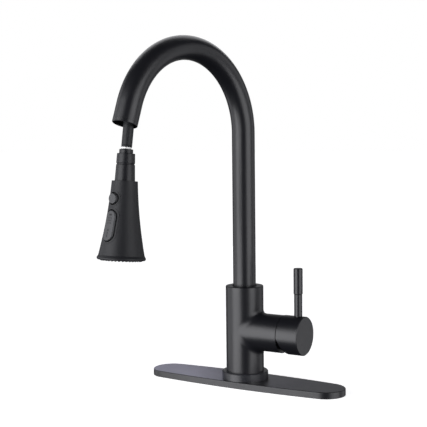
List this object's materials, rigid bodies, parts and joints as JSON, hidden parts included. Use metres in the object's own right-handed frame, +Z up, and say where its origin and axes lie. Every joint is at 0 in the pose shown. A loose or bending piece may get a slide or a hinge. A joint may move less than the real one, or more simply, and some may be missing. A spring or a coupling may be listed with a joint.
{
  "type": "pull-down kitchen faucet",
  "caption": "Tall gooseneck pull-down kitchen faucet with a side lever handle, a two-mode spray head drawn out on its hose, and a long oval deck plate.",
  "frame": {"origin": "centre of the deck plate's underside, on the vertical axis of the body and of the counter hole", "axes": "+Z up, +X along the deck plate towards the handle, -Y towards the sink"},
  "size_m": [0.267, 0.2597, 0.524],
  "materials": {
    "black_metal": "matte black coating",
    "black_trim": "satin black coating",
    "black_coat": "matte black coating, softer than the body's",
    "black_plastic": "matte black ABS",
    "button_plastic": "matte dark grey",
    "rubber": "moulded rubber",
    "steel": "stainless steel",
    "brass": "machined brass",
    "grey_plastic": "moulded acetal",
    "ceramic": "polished alumina",
    "white_nylon": "white nylon",
    "hose_sheath": "black braided nylon sheath"
  },
  "bodies": {
    "base": {"deck_plate": "black_metal", "deck_gasket": "rubber", "base_ring": "black_metal", "base_seal": "rubber", "valve_body": "black_metal", "spout_set_screw": "steel", "swivel_ring_lower": "grey_plastic", "swivel_ring_upper": "grey_plastic", "shank": "brass", "rubber_washer": "rubber", "steel_washer": "steel", "mounting_nut": "grey_plastic", "clamp_screws": "steel", "hot_port_nipple": "brass", "cold_port_nipple": "brass", "mixed_port_nipple": "brass", "spray_hose_lower": "hose_sheath", "hose_connector": "grey_plastic", "cartridge_base": "grey_plastic", "cartridge_seals": "rubber", "cartridge_housing": "grey_plastic", "fixed_disc": "ceramic", "cartridge_nut": "black_trim", "trim_dome": "black_trim"},
    "spout": {"spout_riser": "black_metal", "spout_arch": "black_metal", "spout_outlet": "black_metal", "mouth_ring": "black_trim", "spout_foot": "brass"},
    "hose": {"spray_hose": "hose_sheath"},
    "ferrule": {"hose_ferrule": "black_plastic", "ball_stem": "black_trim", "retaining_clip": "white_nylon"},
    "ball_cup": {"ball_nut": "black_coat", "ball_seat": "white_nylon"},
    "head": {"head_neck": "black_coat", "head_shell": "black_plastic", "pause_bezel": "black_plastic", "rocker_bezel": "black_plastic", "rocker_pin": "steel", "spray_core": "grey_plastic", "nozzle_pad": "rubber", "spray_face": "black_plastic", "rim_ring": "black_plastic", "aerator": "steel"},
    "pause": {"pause_button": "button_plastic"},
    "rocker": {"mode_rocker": "button_plastic"},
    "carrier": {"cartridge_carrier": "grey_plastic", "tilt_pin": "steel"},
    "disc": {"moving_disc": "ceramic"},
    "handle": {"handle_stem": "steel", "handle_cap": "black_metal", "lever_rod": "black_metal", "lever_grip": "black_metal", "handle_set_screw": "steel", "index_plug": "button_plastic"}
  },
  "joints": [
    {"name": "spout_swivel", "type": "hinge", "parent": "base", "child": "spout", "pos_m": [0, 0, 0.1], "axis": [0, 0, 1], "continuous": true},
    {"name": "head_dock", "type": "hinge", "parent": "spout", "child": "hose", "pos_m": [-0.00622, -0.03528, 0.29771], "axis": [-0.9848, 0.1736, 0], "range_deg": [0, 21.23], "deforming": ["spray_hose"]},
    {"name": "hose_pull", "type": "slide", "parent": "hose", "child": "ferrule", "axis": [-0.026, -0.1473, -0.9888], "range_m": [0, 0.16], "deforming": ["spray_hose"]},
    {"name": "ball_tilt", "type": "hinge", "parent": "ferrule", "child": "ball_cup", "pos_m": [-0.03412, -0.19351, 0.2909], "axis": [-0.9848, 0.1736, 0], "range_deg": [-8.33, 1]},
    {"name": "head_turn", "type": "hinge", "parent": "ball_cup", "child": "head", "pos_m": [-0.03412, -0.19351, 0.2909], "axis": [0.0148, 0.0841, 0.9963], "continuous": true},
    {"name": "pause_push", "type": "slide", "parent": "head", "child": "pause", "axis": [0.173, 0.9812, -0.0854], "range_m": [0, 0.0025], "stiffness_N_per_m": 900, "springref_m": -0.002},
    {"name": "mode_tip", "type": "hinge", "parent": "head", "child": "rocker", "pos_m": [-0.03735, -0.21182, 0.2122], "axis": [-0.9848, 0.1736, 0], "range_deg": [-4, 4]},
    {"name": "handle_turn", "type": "hinge", "parent": "base", "child": "carrier", "pos_m": [0.055, 0, 0.067], "axis": [1, 0, 0], "range_deg": [-45, 45]},
    {"name": "handle_tilt", "type": "hinge", "parent": "carrier", "child": "handle", "pos_m": [0.055, 0, 0.067], "axis": [0, 1, 0], "range_deg": [0, 22]},
    {"name": "disc_slide", "type": "slide", "parent": "carrier", "child": "disc", "axis": [0, 0, 1], "range_m": [0, 0.0042]}
  ],
  "couplings": [
    {"joint": "ball_tilt", "follows": "head_dock", "ratio": -0.34516},
    {"joint": "disc_slide", "follows": "handle_tilt", "m_per_rad": 0.010439}
  ]
}
